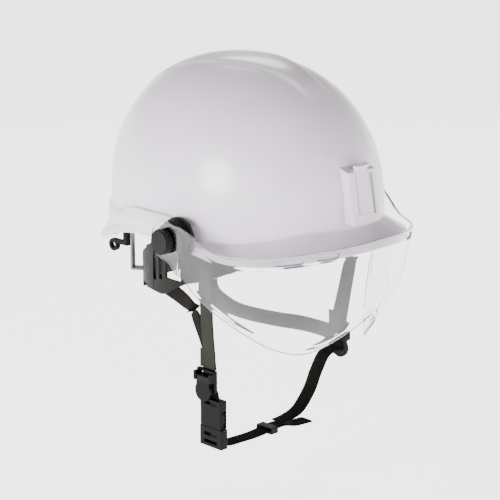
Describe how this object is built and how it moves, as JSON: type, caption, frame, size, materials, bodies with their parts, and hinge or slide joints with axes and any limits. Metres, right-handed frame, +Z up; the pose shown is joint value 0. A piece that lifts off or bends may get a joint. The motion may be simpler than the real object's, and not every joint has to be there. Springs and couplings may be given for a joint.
{
  "type": "safety helmet with visor",
  "caption": "White safety helmet with a short brim, clear half-face visor on side pivots, ratchet headband, webbing chin harness and a front accessory clip.",
  "frame": {"origin": "on the helmet's centre line, level with the foot of the dome", "axes": "+Z up, -Y the way the wearer faces, +X the wearer's left"},
  "size_m": [0.2656, 0.3116, 0.342],
  "materials": {
    "shell_white": "satin",
    "plastic_grey": "matte",
    "plastic_black": "matte",
    "hub_black": "gloss",
    "webbing_grey": "woven",
    "lens_clear": "clear polycarbonate",
    "lens_ear_clear": "clear polycarbonate",
    "pad_pale": "soft textile",
    "pad_black": "soft foam",
    "steel": "brushed"
  },
  "bodies": {
    "helmet": {"shell": "shell_white", "front_mount": "shell_white", "front_clip": "shell_white", "rear_clips": "plastic_black", "lanyard_eye": "plastic_black", "adapter_right": "plastic_grey", "adapter_left": "plastic_grey", "headband": "plastic_grey", "sweatband": "pad_pale", "side_arm_right": "plastic_grey", "side_arm_left": "plastic_grey", "nape_guide_right": "plastic_grey", "nape_guide_left": "plastic_grey", "nape_hangers": "pad_pale", "ratchet_housing": "plastic_grey", "ratchet_cover": "plastic_grey", "knob_screw": "steel", "nape_pad": "pad_black", "crown_strap_long": "webbing_grey", "crown_strap_right": "webbing_grey", "crown_strap_left": "webbing_grey", "crown_pad": "pad_black", "suspension_keys": "plastic_grey", "strap_anchors": "plastic_grey", "front_strap_right": "webbing_grey", "front_strap_left": "webbing_grey", "rear_strap_right": "webbing_grey", "rear_strap_left": "webbing_grey", "junction_patches": "webbing_grey", "adjuster_right": "plastic_black", "adjuster_left": "plastic_black", "lower_strap": "webbing_grey", "buckle_socket": "plastic_black", "chin_strap_far": "webbing_grey"},
    "visor": {"visor_lens": "lens_clear", "lens_ear_right": "lens_ear_clear", "lens_ear_left": "lens_ear_clear", "lens_hub_right": "hub_black", "lens_hub_left": "hub_black"},
    "knob_right": {"visor_knob_right": "plastic_grey"},
    "knob_left": {"visor_knob_left": "plastic_grey"},
    "ratchet": {"ratchet_knob": "plastic_grey", "pinion": "plastic_black"},
    "rack_r": {"rack_right": "plastic_grey"},
    "rack_l": {"rack_left": "plastic_grey"},
    "lever_right": {"cam_lever_right": "plastic_black"},
    "lever_left": {"cam_lever_left": "plastic_black"},
    "chin": {"buckle_tongue": "plastic_black", "chin_strap_near": "webbing_grey"},
    "keeper": {"strap_keeper": "plastic_black"}
  },
  "joints": [
    {"name": "visor_tilt", "type": "hinge", "parent": "helmet", "child": "visor", "pos_m": [0, -0.035, -0.014], "axis": [-1, 0, 0], "range_deg": [0, 46]},
    {"name": "knob_right_turn", "type": "hinge", "parent": "helmet", "child": "knob_right", "pos_m": [-0.128, -0.035, -0.014], "axis": [-1, 0, 0], "range_deg": [-90, 90]},
    {"name": "knob_left_turn", "type": "hinge", "parent": "helmet", "child": "knob_left", "pos_m": [0.128, -0.035, -0.014], "axis": [1, 0, 0], "range_deg": [-90, 90]},
    {"name": "ratchet_turn", "type": "hinge", "parent": "helmet", "child": "ratchet", "pos_m": [0, 0.11, -0.0755], "axis": [0, 1, 0], "range_deg": [-60, 60]},
    {"name": "rack_right_slide", "type": "hinge", "parent": "helmet", "child": "rack_r", "pos_m": [0, 0.029, -0.0755], "axis": [0, 0, 1], "range_deg": [-5.3, 5.3]},
    {"name": "rack_left_slide", "type": "hinge", "parent": "helmet", "child": "rack_l", "pos_m": [0, 0.029, -0.0755], "axis": [0, 0, 1], "range_deg": [-5.3, 5.3]},
    {"name": "lever_right_flip", "type": "hinge", "parent": "helmet", "child": "lever_right", "pos_m": [-0.088, -0.041, -0.142], "axis": [0, 1, 0], "range_deg": [0, 70]},
    {"name": "lever_left_flip", "type": "hinge", "parent": "helmet", "child": "lever_left", "pos_m": [0.088, -0.041, -0.142], "axis": [0, -1, 0], "range_deg": [0, 70]},
    {"name": "buckle_release", "type": "slide", "parent": "helmet", "child": "chin", "axis": [0, 0, -1], "range_m": [0, 0.02]},
    {"name": "keeper_slide", "type": "slide", "parent": "chin", "child": "keeper", "axis": [1, 0, 0], "range_m": [-0.005, 0.005]}
  ],
  "couplings": [
    {"joint": "rack_right_slide", "follows": "ratchet_turn", "ratio": -0.08571},
    {"joint": "rack_left_slide", "follows": "ratchet_turn", "ratio": 0.08571}
  ]
}
